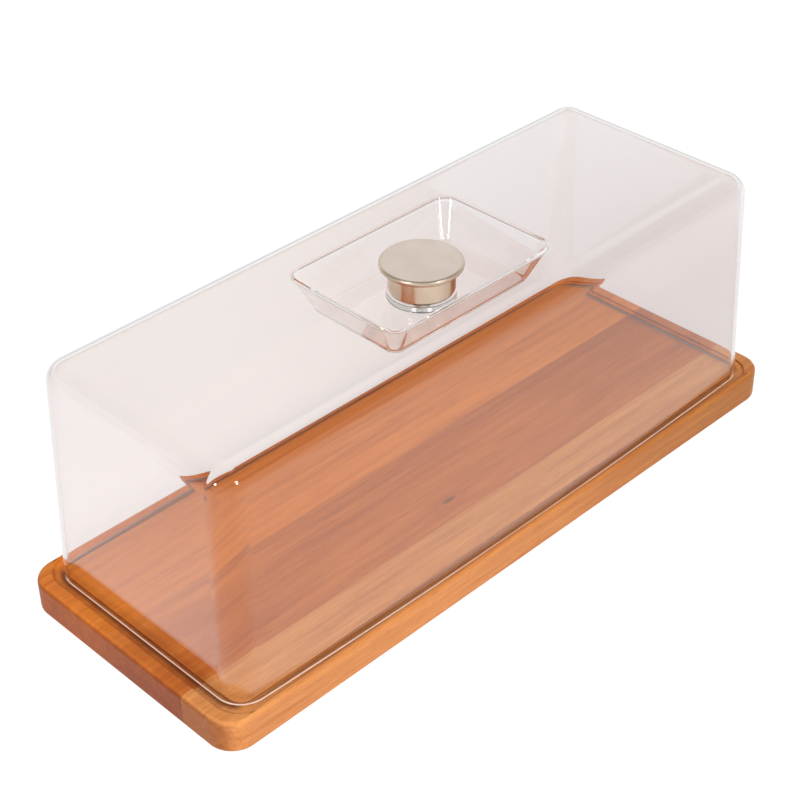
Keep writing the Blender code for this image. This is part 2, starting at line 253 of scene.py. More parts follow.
class Value:
    """A number's socket in a node tree, so that shader maths reads as an expression."""

    def __init__(self, finish, socket):
        self.finish = finish
        self.socket = socket

    def maths(self, operation, *terms):
        return self.finish.value("Math", {"operation": operation}, dict(enumerate(terms)))

    def __add__(self, other):
        return self.maths("ADD", self, other)

    def __radd__(self, other):
        return self.maths("ADD", other, self)

    def __sub__(self, other):
        return self.maths("SUBTRACT", self, other)

    def __rsub__(self, other):
        return self.maths("SUBTRACT", other, self)

    def __mul__(self, other):
        return self.maths("MULTIPLY", self, other)

    def __rmul__(self, other):
        return self.maths("MULTIPLY", other, self)

    def __truediv__(self, other):
        return self.maths("DIVIDE", self, other)

    def __rtruediv__(self, other):
        return self.maths("DIVIDE", other, self)

    def __pow__(self, other):
        return self.maths("POWER", self, other)

    def __abs__(self):
        return self.maths("ABSOLUTE", self)

    def larger(self, other):
        return self.maths("MAXIMUM", self, other)

    def over(self, other):
        """1 where this is more than other, and 0 elsewhere."""
        return self.maths("GREATER_THAN", self, other)

    def clamped(self):
        return self.larger(0.0).maths("MINIMUM", self.larger(0.0), 1.0)

    def step(self, start, end):
        """0 up to start and 1 from end on, smooth between them. end may be the smaller number."""
        sockets = {"Value": self, "From Min": start, "From Max": end}
        return self.finish.value("MapRange", {"interpolation_type": "SMOOTHSTEP"}, sockets)


class Finish:
    """The node tree of a material or a world under construction."""

    def __init__(self, owner):
        owner.use_nodes = True
        self.tree = owner.node_tree
        self.tree.nodes.clear()

    def node(self, kind, settings=None, sockets=None):
        made = self.tree.nodes.new("ShaderNode" + kind)
        for key, setting in (settings or {}).items():
            setattr(made, key, setting)
        for key, given in (sockets or {}).items():
            if isinstance(given, Value):
                self.tree.links.new(given.socket, made.inputs[key])
            else:
                made.inputs[key].default_value = given
        return made

    def value(self, kind, settings=None, sockets=None, output=0):
        return Value(self, self.node(kind, settings, sockets).outputs[output])

    def place(self):
        return self.value("TexCoord", output="Object")

    def axes(self, vector):
        return [Value(self, output) for output in self.node("SeparateXYZ", sockets={0: vector}).outputs]

    def vector(self, x, y, z):
        return self.value("CombineXYZ", sockets={0: x, 1: y, 2: z})

    def stretched(self, vector, scale, offset=(0.0, 0.0, 0.0)):
        return self.value("Mapping", sockets={"Vector": vector, "Location": offset, "Scale": scale})

    def noise(self, vector, detail=2.0, roughness=0.5):
        """Noise from 0 to 1 about 0.5, with features one unit across."""
        sockets = {"Vector": vector, "Scale": 1.0, "Detail": detail, "Roughness": roughness}
        return self.value("TexNoise", sockets=sockets)

    def mixed(self, factor, a, b, mode="MIX"):
        """Colour a where factor is 0 and b where it is 1."""
        colours = [given if isinstance(given, Value) else (*given, 1.0) for given in (a, b)]
        settings = {"data_type": "RGBA", "blend_type": mode}
        return self.value("Mix", settings, {0: factor, 6: colours[0], 7: colours[1]}, output=2)

    def tinted(self, factor, a, tint):
        """Colour a, multiplied by tint where factor is 1."""
        return self.mixed(factor, a, tint, "MULTIPLY")

    def bump(self, height, distance, strength=1.0):
        return self.value("Bump", sockets={"Height": height, "Distance": distance, "Strength": strength})

    def ray(self, *kinds):
        """1 for rays of these kinds, and 0 for the rest."""
        path = self.node("LightPath")
        found = [Value(self, path.outputs[f"Is {kind} Ray"]) for kind in kinds]
        total = found[0]
        for other in found[1:]:
            total = total.larger(other)
        return total

    def mirrorings(self):
        return Value(self, self.node("LightPath").outputs["Glossy Depth"])

    def principled(self, **sockets):
        names = {key.replace("_", " ").title().replace("Ior", "IOR"): given for key, given in sockets.items()}
        return self.value("BsdfPrincipled", sockets=names)

    def both(self, factor, a, b):
        """Shader a where factor is 0 and b where it is 1."""
        return self.value("MixShader", sockets={0: factor, 1: a, 2: b})

    def ends(self, shader, kind="OutputMaterial"):
        self.node(kind, sockets={"Surface": shader})


def new_material(name):
    made = bpy.data.materials.new(name)
    return made, Finish(made)


def arc(radius, start, end, steps):
    """Places across and up, evenly round a circle: radius times (cos a, sin a), with a in degrees."""
    turn = np.radians(np.linspace(start, end, steps + 1))
    return radius * np.cos(turn), radius * np.sin(turn)


def outline_columns(corner_steps, long_steps, short_steps):
    """Places round a rectangle with round corners, as the centres (-1 to 1) and directions of its columns.

    A corner's columns turn through a quarter circle about that corner's centre. A side's columns slide from
    one corner's centre to the next, looking square off the side, and crowd towards both corners by a cosine.
    """
    centres, directions = [], []
    signs = np.array(((1, 1), (-1, 1), (-1, -1), (1, -1)), float)
    for corner, steps in enumerate((long_steps, short_steps, long_steps, short_steps)):
        here, there = signs[corner], signs[(corner + 1) % 4]
        looks = np.column_stack(arc(1.0, 90 * corner, 90 * corner + 90, corner_steps))
        along = (1 - np.cos(np.pi * np.arange(1, steps) / steps))[:, None] / 2
        centres += [np.tile(here, (len(looks), 1)), here + (there - here) * along]
        directions += [looks, np.tile(looks[-1], (steps - 1, 1))]
    return np.concatenate(centres), np.concatenate(directions)


def outlines(columns, half_x, half_y, radius, z, bow=0.0, bow_reach=1.0):
    """Rounded rectangles, one row for each height: the corner's centre plus radius times direction.

    Sizes, radius and bow may be one number or one for each row. bow swells the long sides by
    bow * (1 - (x / bow_reach) squared).
    """
    centres, directions = columns
    z = np.asarray(z, float)[:, None]
    half_x, half_y, radius, bow = (
        np.broadcast_to(np.asarray(given, float).reshape(-1, 1), z.shape)
        for given in (half_x, half_y, radius, bow)
    )
    x = centres[:, 0] * (half_x - radius) + directions[:, 0] * radius
    y = centres[:, 1] * (half_y - radius) + directions[:, 1] * radius
    y = y + np.sign(centres[:, 1]) * bow * (1 - (x / bow_reach) ** 2)
    return np.stack((x, y, np.broadcast_to(z, x.shape)), axis=2)


def circles(angles, radius, z):
    """Circles about Z, one row for each radius and height: (r cos a, r sin a, z)."""
    radius, z = np.asarray(radius, float)[:, None], np.asarray(z, float)[:, None]
    x, y = radius * np.cos(angles), radius * np.sin(angles)
    return np.stack((x, y, np.broadcast_to(z, x.shape)), axis=2)


def even_angles(columns):
    return 2 * np.pi * np.arange(columns) / columns


def supported(grid):
    """Adds a ring just inside both ends of each long straight stretch, so that the stretch shades flat.

    The rings are a + (b - a) t and b - (b - a) t, with t the support's reach over the widest gap from a to b.
    """
    gaps = np.linalg.norm(np.diff(grid, axis=0), axis=2).max(axis=1)
    rings = [grid[0]]
    for before, after, gap in zip(grid, grid[1:], gaps):
        if gap > 4 * SUPPORT_REACH:
            step = (after - before) * (SUPPORT_REACH / gap)
            rings += [before + step, after - step]
        rings.append(after)
    return np.array(rings)


def skin(name, grid, closed=False, capped=False):
    """A mesh over a grid of rings: quads from ring to ring, and round each ring back to its start.

    closed joins the last ring to the first, and capped lays a flat face on both. Doubles are merged, and the
    faces turn outwards by the sign of the volume, which sums a . (b x c) / 6 over the triangles.
    """
    rows, columns = grid.shape[:2]
    number = np.arange(rows * columns).reshape(rows, columns)
    belt = np.vstack((number, number[:1])) if closed else number
    onward = np.roll(belt, -1, axis=1)
    faces = np.stack((belt[:-1], onward[:-1], onward[1:], belt[1:]), axis=2).reshape(-1, 4).tolist()
    if capped:
        faces += [number[0, ::-1].tolist(), number[-1].tolist()]
    mesh = bpy.data.meshes.new(name)
    mesh.from_pydata(grid.reshape(-1, 3), [], faces)
    bm = bmesh.new()
    bm.from_mesh(mesh)
    bmesh.ops.remove_doubles(bm, verts=bm.verts, dist=MERGE_DISTANCE)
    if bm.calc_volume(signed=True) < 0:
        bmesh.ops.reverse_faces(bm, faces=bm.faces)
    bm.to_mesh(mesh)
    bm.free()
    return mesh


def new_piece(name, mesh, finish, body, node):
    """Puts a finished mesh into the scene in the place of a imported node, riding on the node's body."""
    mesh.shade_smooth()
    mesh.set_sharp_from_angle(angle=SHARP_ANGLE)
    mesh.materials.append(finish)
    piece = bpy.data.objects.new(name, mesh)
    bpy.context.scene.collection.objects.link(piece)
    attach(piece, body)
    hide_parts(node)
    return piece


def board_mesh(size):
    """The whole board: rings up its rounded side, over the margin, through the groove, to the raised middle.

    Each vertex keeps how squarely it faces the board's ends, which is where the wood shows its end grain.
    """
    across, up = arc(size.bottom_edge, -90, 0, 8)
    inset, z = [size.bottom_edge - across], [size.bottom_edge + up]
    across, up = arc(size.top_edge, 0, 90, 10)
    inset.append(size.top_edge - across)
    z.append(BOARD.z - size.top_edge + up)
    columns = outline_columns(**SIDE_COLUMNS)
    inset, z = np.concatenate(inset), np.concatenate(z)
    side = outlines(columns, BOARD.x - inset, BOARD.y - inset, size.corner - inset, z)

    floor = BOARD.z - size.groove_depth
    heel_across, heel_up = arc(size.groove_heel, 180, 270, 5)
    drops, levels = [], []
    for lip in (size.outer_lip, size.inner_lip):
        lip_across, lip_up = arc(lip, 90, 0, 6)
        drops.append(np.concatenate((lip_across - lip, size.groove_heel + heel_across)))
        levels.append(np.concatenate((BOARD.z - lip + lip_up, floor + size.groove_heel + heel_up)))
    inset = np.concatenate((drops[0], size.groove_width - drops[1][::-1]))
    groove = outlines(
        columns,
        BOARD.x - size.end_margin - inset,
        BOARD.y - size.side_margin - inset,
        size.groove_corner - inset,
        np.concatenate((levels[0], levels[1][::-1])),
    )
    mesh = skin("board", supported(np.concatenate((side, groove))), capped=True)
    facing = np.empty(len(mesh.vertices) * 3, np.float32)
    mesh.vertices.foreach_get("normal", facing)
    end_grain = mesh.attributes.new("end_grain", "FLOAT", "POINT")
    end_grain.data.foreach_set("value", np.ascontiguousarray(np.abs(facing[::3])))
    return mesh


def slice_between(board, name, low, high):
    """The part of the board between two upright planes across Y, closed along both cuts."""
    bm = bmesh.new()
    bm.from_mesh(board)
    for level, side in ((low, -1), (high, 1)):
        cut = bmesh.ops.bisect_plane(
            bm,
            geom=bm.verts[:] + bm.edges[:] + bm.faces[:],
            dist=MERGE_DISTANCE,
            plane_co=(0, level, 0),
            plane_no=(0, side, 0),
            clear_outer=True,
        )
        rim = [part for part in cut["geom_cut"] if isinstance(part, bmesh.types.BMEdge)]
        if rim:
            bmesh.ops.edgeloop_fill(bm, edges=rim)
    if bm.calc_volume(signed=True) < 0:
        bmesh.ops.reverse_faces(bm, faces=bm.faces)
    mesh = bpy.data.meshes.new(name)
    bm.to_mesh(mesh)
    bm.free()
    return mesh


def painted_foot_shade(wood, x, y, z):
    """How much painted shade darkens the wood by the line where the cover stands, from 0 to 1.

    The distance from a rectangle with round corners is the length of the part of (|x|, |y|) beyond the
    corner's centre, less the radius. The long sides' bow comes off |y| first. Inside the cover the painted
    shade darkens the wood near its foot, and more so in the groove. Outside, it darkens only the groove,
    mostly at the ends.
    """
    cover = bpy.context.scene.cake_cover
    centre_x, centre_y = COVER_HIGH.x - cover.corner, COVER_HIGH.y - cover.bow - cover.corner
    share = x / COVER_HIGH.x
    over_x = abs(x) - centre_x
    over_y = abs(y) - centre_y - cover.bow * (1.0 - share * share).larger(0.0)
    beyond_x, beyond_y = over_x.larger(0.0), over_y.larger(0.0)
    within = over_x.larger(over_y)
    distance = (beyond_x * beyond_x + beyond_y * beyond_y) ** 0.5 + within - within.larger(0.0)
    distance = distance - cover.corner
    sunk = z.step(BOARD.z - 0.0001, BOARD.z - 0.0009)
    at_end = (over_x - over_y).step(-0.004, 0.004)
    outside = distance.step(0.0036, 0.0004) * sunk * (SIDE_SHADE + at_end * (1 - SIDE_SHADE))
    inside = distance.step(-0.0100, -0.0020) * MIDDLE_SHADE + sunk * (GROOVE_SHADE - at_end * END_RELIEF)
    return distance.step(0.0, -0.0006) * (inside - outside) + outside


def oiled_wood(name, tone, heart, ring_width, contrast, seed, knot=None, streaks=()):
    """Oiled hardwood, its grain along X and its growth rings about a heart line at (y, z).

    The ring number is the distance from the heart line over the ring's width, moved by slow noise. Fibres and
    pores are noise drawn out along X. streaks are darker stretches of the stave, each with where it fades in
    along X, where it fades in across Y, and its depth; the front stave's streak is painted shade. The end
    grain takes the oil darker. Painted shade darkens the wood about the cover's foot, most in the groove, and
    the front face towards the right end, where less lamp light falls.
    """
    pore_tone = tuple(bpy.context.scene.cake_board.pore_tone)
    made, wood = new_material(name)
    place = wood.place()
    moved = wood.stretched(place, (1.0, 1.0, 1.0), (0.37 * seed, 0.11 * seed, 0.05 * seed))
    wander = wood.noise(wood.stretched(moved, WANDER_SCALE)) - 0.5
    x, y, z = wood.axes(place)
    across, down = y - heart[0], z - heart[1]
    rings = (across * across + down * down) ** 0.5 / ring_width + wander * 5.0
    if knot:
        along_knot, across_knot = (x - knot[0]) / KNOT_LENGTH, (y - knot[1]) / KNOT_WIDTH
        knot_distance = (along_knot * along_knot + across_knot * across_knot) ** 0.5
        rings = rings + 1.6 / (1.0 + knot_distance * knot_distance * 0.25)
    growth = wood.noise(wood.vector(x * 3.0, rings, 1.7 * seed), detail=3.0, roughness=0.55)
    broad = wood.noise(wood.stretched(moved, BROAD_SCALE))
    streak = wood.noise(wood.stretched(moved, STREAK_SCALE))
    fibre = wood.noise(wood.stretched(moved, FIBRE_SCALE), detail=3.0, roughness=0.6)
    pore = wood.noise(wood.stretched(moved, PORE_SCALE), detail=1.0).step(0.60, 0.72)
    depth = (
        (growth - 0.5) * (2.6 * contrast)
        + (broad - 0.5) * (1.5 * contrast)
        + (streak - 0.5) * 1.4
        + (fibre - 0.5) * 1.2
    )
    for (x_none, x_full), (y_none, y_full), strength in streaks:
        depth = depth + (x + wander * 0.05).step(x_none, x_full) * (
            (y + wander * 0.006).step(y_none, y_full) * strength
        )
    pale = tuple(min(1.0, channel * lift) for channel, lift in zip(tone, PALE_LIFT))
    deep = tuple(channel * drop for channel, drop in zip(tone, DEEP_DROP))
    body = wood.mixed((depth + 0.5).clamped(), pale, deep)
    body = wood.mixed(pore * 0.30, body, pore_tone)
    if knot:
        body = wood.mixed(knot_distance.step(1.5, 0.5) * 0.75, body, pore_tone)
    end_grain = wood.value("Attribute", {"attribute_name": "end_grain"}, output="Fac").step(0.5, 0.95)
    body = wood.tinted(end_grain, body, END_GRAIN_TINT)
    # Painted shade: the front face darkens towards the right end, where less lamp light falls.
    front_face = y.step(0.0017 - BOARD.y, 0.0003 - BOARD.y)
    body = wood.tinted(front_face * x.step(-0.05, 0.20), body, PAINTED_FALLOFF_TINT)
    # Painted shade about the cover's foot: its shadow on the wood, and the shade in the groove.
    body = wood.tinted(painted_foot_shade(wood, x, y, z), body, PAINTED_FOOT_SHADE_TINT)
    grain = wood.bump(fibre * 0.5 + streak * 0.5 - pore * 0.7, 0.00005, 0.8)
    wood.ends(wood.principled(base_color=body, roughness=0.36 + fibre * 0.18, normal=grain, ior=1.32))
    return made


def well_rings(columns, size, offset, rim_edge, floor_edge):
    """Rings down one face of the well. offset is 0 on top, and the wall's thickness on the underside.

    The rim and the floor are arcs that touch the leaning side: each arc's centre stands off from the corner
    of the straight lines by the radius times the tangent of half the turn.
    """
    lean = math.tan(size.well_draft)
    turn = 90 - math.degrees(size.well_draft)
    stand_off = math.tan(math.radians(turn / 2))
    side = offset / math.cos(size.well_draft)
    reach = size.well_depth * lean
    top, floor = COVER_HIGH.z - offset, COVER_HIGH.z - size.well_depth - offset
    across, up = arc(rim_edge, 90, 90 - turn, 12)
    inset, z = [offset * lean - side - rim_edge * stand_off + across], [top - rim_edge + up]
    across, up = arc(floor_edge, 270 - turn, 270, 12)
    inset.append(reach + offset * lean - side + floor_edge * stand_off + across)
    z.append(floor + floor_edge + up)
    inset, z = np.concatenate(inset), np.concatenate(z)
    tightening = (size.well_corner - size.floor_corner) / reach
    radius = size.well_corner - np.clip(inset + side, 0, reach) * tightening + offset
    return outlines(columns, size.well_length / 2 - inset, size.well_width / 2 - inset, radius, z)


def wall_rings(columns, size, offset):
    """Rings down one face of the wall, from the top plate to the foot. offset is measured inwards.

    The wall leans by its draft and its bow fades evenly from the foot to the top. Each foot edge is a quarter
    circle.
    """
    foot, height = COVER_LOW.z, COVER_HIGH.z - COVER_LOW.z
    edge = size.top_edge - offset
    top = COVER_HIGH.z - offset
    lean = math.tan(size.draft)
    spring = top - edge
    across, up = arc(edge, 90, 0, 16)
    inset, z = [(spring - foot) * lean + edge - across], [spring + up]
    tightened = [size.corner - offset - size.tightening * (spring - foot) * lean - edge + across]
    down = np.linspace(spring, foot + size.foot_edge, 7)[1:-1]
    inset.append((down - foot) * lean)
    z.append(down)
    across, up = arc(size.foot_edge, 0, -90, 6)
    into_wall = -1 if offset else 1
    turned_in = into_wall * (size.foot_edge - across)
    inset.append(size.foot_edge * lean + turned_in)
    z.append(foot + size.foot_edge + up)
    tightened += [size.corner - offset - size.tightening * inset[1], size.corner - offset - turned_in]
    inset, z, radius = np.concatenate(inset), np.concatenate(z), np.concatenate(tightened)
    half_x = COVER_HIGH.x
    half_y = COVER_HIGH.y - size.bow
    fade = 1 - (z - foot) / height
    return outlines(
        columns, half_x - offset - inset, half_y - offset - inset, radius, z, size.bow * fade, half_x
    )


def cover_mesh(size):
    """The cover's section, carried all the way round.

    It goes up the screw hole, over the boss and the well's floor, up the well's side, over the top, down the
    wall, round the foot, and back along the inner faces.
    """
    columns = outline_columns(**COVER_COLUMNS)
    well = well_rings(columns, size, 0.0, size.rim_edge, size.floor_edge)[::-1]
    angles = np.arctan2(well[0, :, 1], well[0, :, 0])
    floor = COVER_HIGH.z - size.well_depth
    boss_top = floor + size.boss_height
    edge = size.boss_edge
    top_across, top_up = arc(edge, 90, 0, 5)
    foot_across, foot_up = arc(edge, 180, 270, 5)
    radius = np.concatenate(
        ([size.screw_hole] * 2, size.boss_radius - edge + top_across, size.boss_radius + edge + foot_across)
    )
    z = np.concatenate(([floor - size.wall, boss_top], boss_top - edge + top_up, floor + edge + foot_up))
    under = well_rings(columns, size, size.wall, size.rim_edge + size.wall, size.floor_edge)
    rings = (
        circles(angles, radius, z),
        well,
        wall_rings(columns, size, 0.0),
        wall_rings(columns, size, size.wall)[::-1],
        under,
    )
    return skin("cover", supported(np.concatenate(rings)), closed=True)


def sawn_plastic():
    """The matt underside of the cover's wall, with painted light: paler on the left and front sides, and
    painted shade on the right and back.
    """
    made, sawn = new_material("sawn_plastic")
    x, y, _ = sawn.axes(sawn.place())
    # Painted shade on the right and back sides, painted light on the left and front.
    shaded_sides = x.step(0.170, 0.176).larger(y.step(0.056, 0.060))
    tone = sawn.mixed(shaded_sides, PAINTED_LIT_FOOT_TONE, PAINTED_SHADED_FOOT_TONE)
    sawn.ends(sawn.principled(base_color=tone, roughness=0.8, ior=1.05))
    return made


def clear_plastic(name, tint, shade, roughness, ripple):
    """Clear moulded plastic with a faint ripple. Light from lamps and rough surfaces passes straight through.

    Each face dims that light by shade. Light that runs on inside the wall leaves it after a few mirrorings.
    """
    made, clear = new_material(name)
    height = clear.noise(clear.stretched(clear.place(), (9.0, 9.0, 9.0)), detail=1.0)
    solid = clear.principled(
        base_color=(*tint, 1.0),
        roughness=roughness,
        ior=1.49,
        transmission_weight=1.0,
        normal=clear.bump(height, ripple, 0.5),
    )
    through = clear.value("BsdfTransparent", sockets={"Color": (*shade, 1.0)})
    factor = clear.ray("Shadow", "Diffuse").larger(clear.mirrorings().over(MOST_MIRRORINGS))
    clear.ends(clear.both(factor, solid, through))
    return made


def turned(name, radius, z, columns=FIXING_COLUMNS, closed=False):
    """A profile of radii and heights turned about Z, its straight stretches supported."""
    return skin(name, supported(circles(even_angles(columns), radius, z)), closed=closed)


def knob_mesh(size):
    """The knob, turned from its profile: tapped hole, drum, cap with a round edge, and a slightly domed top.

    The top falls from its middle by the dome times the square of the share of the way out.
    """
    low, high = KNOB_LOW.z, KNOB_HIGH.z
    cap_radius = KNOB_HIGH.x
    edge = cap_radius - size.cap_edge
    cap_low, rim_top = high - size.cap_thickness, high - size.dome
    foot_across, foot_up = arc(size.foot_edge, -90, 0, 6)
    fillet_across, fillet_up = arc(size.foot_edge, 180, 90, 6)
    lower_across, lower_up = arc(size.cap_edge, -90, 0, 10)
    upper_across, upper_up = arc(size.cap_edge, 0, 90, 10)
    way_in = np.linspace(1, 0, 14)[1:]
    radius = (
        [0.0, size.tap, size.tap],
        size.stem - size.foot_edge + foot_across,
        size.stem + size.foot_edge + fillet_across,
        edge + lower_across,
        edge + upper_across,
        edge * way_in,
    )
    z = (
        [low + size.tap_depth, low + size.tap_depth, low],
        low + size.foot_edge + foot_up,
        cap_low - size.foot_edge + fillet_up,
        cap_low + size.cap_edge + lower_up,
        rim_top - size.cap_edge + upper_up,
        high - size.dome * way_in**2,
    )
    return turned("knob", np.concatenate(radius), np.concatenate(z), KNOB_COLUMNS)


def pale_gold(size):
    """Pale gold metal: a polished drum and edge, and a top with fine turning marks that shines softly."""
    made, metal = new_material("pale_gold")
    place = metal.place()
    x, y, z = metal.axes(place)
    out = (x * x + y * y) ** 0.5
    top = z.step(KNOB_HIGH.z - size.dome - 0.0002, KNOB_HIGH.z - size.dome) * out.step(
        KNOB_HIGH.x - 0.7 * size.cap_edge, KNOB_HIGH.x - 1.2 * size.cap_edge
    )
    marks = metal.noise(metal.vector(out * 2600.0, 0.0, 0.0), detail=2.0)
    cloud = metal.noise(metal.stretched(place, (90.0, 90.0, 90.0)), detail=3.0)
    drawn = metal.noise(metal.stretched(place, (40.0, 40.0, 2600.0)), detail=2.0)
    shade = metal.mixed(cloud.step(0.3, 0.7), (0.93, 0.92, 0.90), (1.0, 1.0, 1.0))
    cap = z.step(KNOB_HIGH.z - size.cap_thickness, KNOB_HIGH.z - size.cap_thickness + 0.0006)
    roughness = 0.09 + cloud * 0.10 + cap * 0.17
    bumps = metal.bump(top * marks * 0.5 + (1 - top) * drawn * 0.12, 0.00004, 0.6)
    tone = metal.tinted(1.0, shade, metal.mixed(top, tuple(size.metal), CAP_TONE))
    metal.ends(metal.principled(base_color=tone, metallic=1.0, roughness=roughness, normal=bumps))
    return made


def screw_mesh(size):
    """The screw: a low head with a round edge and a six-sided socket, and a plain shank.

    A six-sided ring's radius is its half width over cos(b), with b the angle from the nearest flat's middle.
    """
    low, high = SCREW_LOW.z, SCREW_HIGH.z
    head = SCREW_HIGH.x
    angles = even_angles(FIXING_COLUMNS)
    from_flat = np.mod(angles, math.pi / 3) - math.pi / 6
    socket = circles(angles, [0.0, size.socket, size.socket], [low + size.socket_depth] * 2 + [low])
    socket[:, :, :2] /= np.cos(from_flat)[:, None]
    across, up = arc(size.head_edge, -90, 0, 8)
    chamfer = 0.1 * size.shank
    top = low + size.head_height
    radius = (head - size.head_edge + across, [head, size.shank, size.shank, size.shank - chamfer, 0.0])
    z = (low + size.head_edge + up, [top, top, high - chamfer, high, high])
    rest = circles(angles, np.concatenate(radius), np.concatenate(z))
    return skin("knob_screw", supported(np.concatenate((socket, rest))))


def washer_mesh(size, name, low, high):
    """A washer, turned from its section: a rectangle with four round corners."""
    edge, outer = size.washer_edge, high.x
    corners = (
        (outer, low.z, -90, -1, 1),
        (outer, high.z, 0, -1, -1),
        (size.hole, high.z, 90, 1, -1),
        (size.hole, low.z, 180, 1, 1),
    )
    radius, z = [], []
    for corner_radius, corner_z, start, inward, upward in corners:
        across, up = arc(edge, start, start + 90, 4)
        radius.append(corner_radius + inward * edge + across)
        z.append(corner_z + upward * edge + up)
    return turned(name, np.concatenate(radius), np.concatenate(z), closed=True)


def plated_steel():
    """Zinc-plated steel: grey metal with a fine cloudy crystal pattern."""
    made, steel = new_material("plated_steel")
    place = steel.place()
    cloud = steel.noise(steel.stretched(place, (700.0, 700.0, 700.0)), detail=3.0)
    fine = steel.noise(steel.stretched(place, (4000.0, 4000.0, 4000.0)), detail=1.0)
    tone = steel.mixed(cloud, (0.50, 0.50, 0.48), (0.72, 0.72, 0.70))
    grain = steel.bump(fine, 0.00001, 0.6)
    steel.ends(steel.principled(base_color=tone, metallic=1.0, roughness=0.24 + cloud * 0.16, normal=grain))
    return made


def white_nylon():
    """White nylon with a fine satin surface and a faint yellowing in patches."""
    made, nylon = new_material("white_nylon")
    place = nylon.place()
    patch = nylon.noise(nylon.stretched(place, (250.0, 250.0, 250.0)), detail=2.0)
    fine = nylon.noise(nylon.stretched(place, (3000.0, 3000.0, 3000.0)), detail=2.0)
    tone = nylon.mixed(patch, (0.84, 0.84, 0.82), (0.78, 0.77, 0.72))
    grain = nylon.bump(fine, 0.00002, 0.6)
    nylon.ends(nylon.principled(base_color=tone, roughness=0.38 + fine * 0.12, normal=grain))
    return made


class StavesOperator(bpy.types.Operator):
    """Build the board's three staves, glued edge to edge, with their grooves and their oiled wood"""

    bl_idname = "cake_box.staves"
    bl_label = "Staves"

    def execute(self, context):
        size = context.scene.cake_board
        board = board_mesh(size)
        hairline = GLUE_HAIRLINE / 2
        back = oiled_wood(
            "back_wood", tuple(size.back_tone), heart=(0.19, -0.05), ring_width=0.0042, contrast=0.32, seed=1,
            streaks=(((-0.14, -0.06), (0.040, 0.012), -0.22),),
        )
        middle = oiled_wood(
            "middle_wood", tuple(size.middle_tone), heart=(-0.016, -0.035), ring_width=0.0030, contrast=0.60,
            seed=2, knot=(-0.013, -0.030),
            streaks=(
                ((0.05, 0.17), (-0.2, -0.1), 0.16),
                ((-0.13, -0.07), (0.001, 0.009), 0.22),
                ((-0.06, -0.12), (0.006, -0.006), 0.14),
                ((-0.10, -0.16), (-0.008, 0.003), -0.25),
            ),
        )
        # The front stave's streak is painted shade: it darkens the wood in front of the cover's foot towards
        # the right end.
        front = oiled_wood(
            "front_wood", tuple(size.front_tone), heart=(-0.22, -0.08), ring_width=0.0040, contrast=0.24,
            seed=3, streaks=(((-0.09, 0.15), (-0.0640, -0.0705), 0.50),),
        )
        staves = (
            ("back_stave", BACK_JOINT + hairline, 1.0, back, "wood_light"),
            ("middle_stave", FRONT_JOINT + hairline, BACK_JOINT - hairline, middle, "wood_dark"),
            ("front_stave", -1.0, FRONT_JOINT - hairline, front, "wood_light"),
        )
        for name, low, high, finish, slot in staves:
            mesh = slice_between(board, name, low, high)
            new_piece("oiled_" + name, mesh, finish, "board", name)
        bpy.data.meshes.remove(board)
        return {"FINISHED"}


class CoverOperator(bpy.types.Operator):
    """Build the clear cover, with its well, its boss, its screw hole and its matt underside"""

    bl_idname = "cake_box.cover"
    bl_label = "Cover"

    def execute(self, context):
        size = context.scene.cake_cover
        clear = clear_plastic("clear_acrylic", tuple(size.tint), tuple(size.shade), 0.0, 0.0006)
        cover = new_piece("clear_cover", cover_mesh(size), clear, "cover", "cover")
        faces = cover.data.polygons
        cover.data.materials.append(sawn_plastic())
        centres = np.empty(len(faces) * 3)
        faces.foreach_get("center", centres)
        underneath = centres[2::3] < COVER_LOW.z + FLATNESS
        faces.foreach_set("material_index", underneath.astype(np.int32))
        return {"FINISHED"}


class KnobOperator(bpy.types.Operator):
    """Turn the knob, with its polished drum and its softly shining top"""

    bl_idname = "cake_box.knob"
    bl_label = "Knob"

    def execute(self, context):
        size = context.scene.cake_knob
        new_piece("turned_knob", knob_mesh(size), pale_gold(size), "cover", "knob")
        return {"FINISHED"}


class ScrewOperator(bpy.types.Operator):
    """Build the screw that holds the knob from below"""

    bl_idname = "cake_box.screw"
    bl_label = "Screw"

    def execute(self, context):
        mesh = screw_mesh(context.scene.cake_fixings)
        new_piece("socket_screw", mesh, plated_steel(), "cover", "knob_screw")
        return {"FINISHED"}


class WashersOperator(bpy.types.Operator):
    """Build the clear washer under the knob, and the nylon and steel washers under the well's floor"""

    bl_idname = "cake_box.washers"
    bl_label = "Washers"

    def execute(self, context):
        size = context.scene.cake_fixings
        soft = clear_plastic("clear_soft", (0.94, 0.94, 0.93), (0.9, 0.9, 0.9), 0.12, 0.0001)
        washers = (
            ("seat_washer", SEAT_LOW, SEAT_HIGH, soft, "clear_soft"),
            ("nylon_washer", NYLON_LOW, NYLON_HIGH, white_nylon(), "nylon"),
            ("steel_washer", STEEL_LOW, STEEL_HIGH, plated_steel(), "steel"),
        )
        for name, low, high, finish, slot in washers:
            new_piece("fine_" + name, washer_mesh(size, name, low, high), finish, "cover", name)
        return {"FINISHED"}


def looking_back(azimuth, elevation):
    """The direction to what stands at this elevation and azimuth, which turns from the front to the left."""
    level = math.cos(elevation)
    return Vector((-math.sin(azimuth) * level, -math.cos(azimuth) * level, math.sin(elevation)))


def place_camera(size):
    """The camera stands back from its aim along azimuth and elevation, and rolls about its line of sight."""
    turn, roll = size.azimuth, size.roll
    back = looking_back(turn, size.elevation)
    right = Vector((math.cos(turn), -math.sin(turn), 0.0))
    up = back.cross(right)
    right, up = (
        math.cos(roll) * right + math.sin(roll) * up,
        math.cos(roll) * up - math.sin(roll) * right,
    )
    data = bpy.data.cameras.new("camera")
    data.lens = size.lens
    camera = bpy.data.objects.new("camera", data)
    camera.matrix_world = Matrix.Translation(Vector(size.aim) + size.distance * back) @ (
        Matrix((right, up, back)).transposed().to_4x4()
    )
    bpy.context.scene.collection.objects.link(camera)
    bpy.context.scene.camera = camera


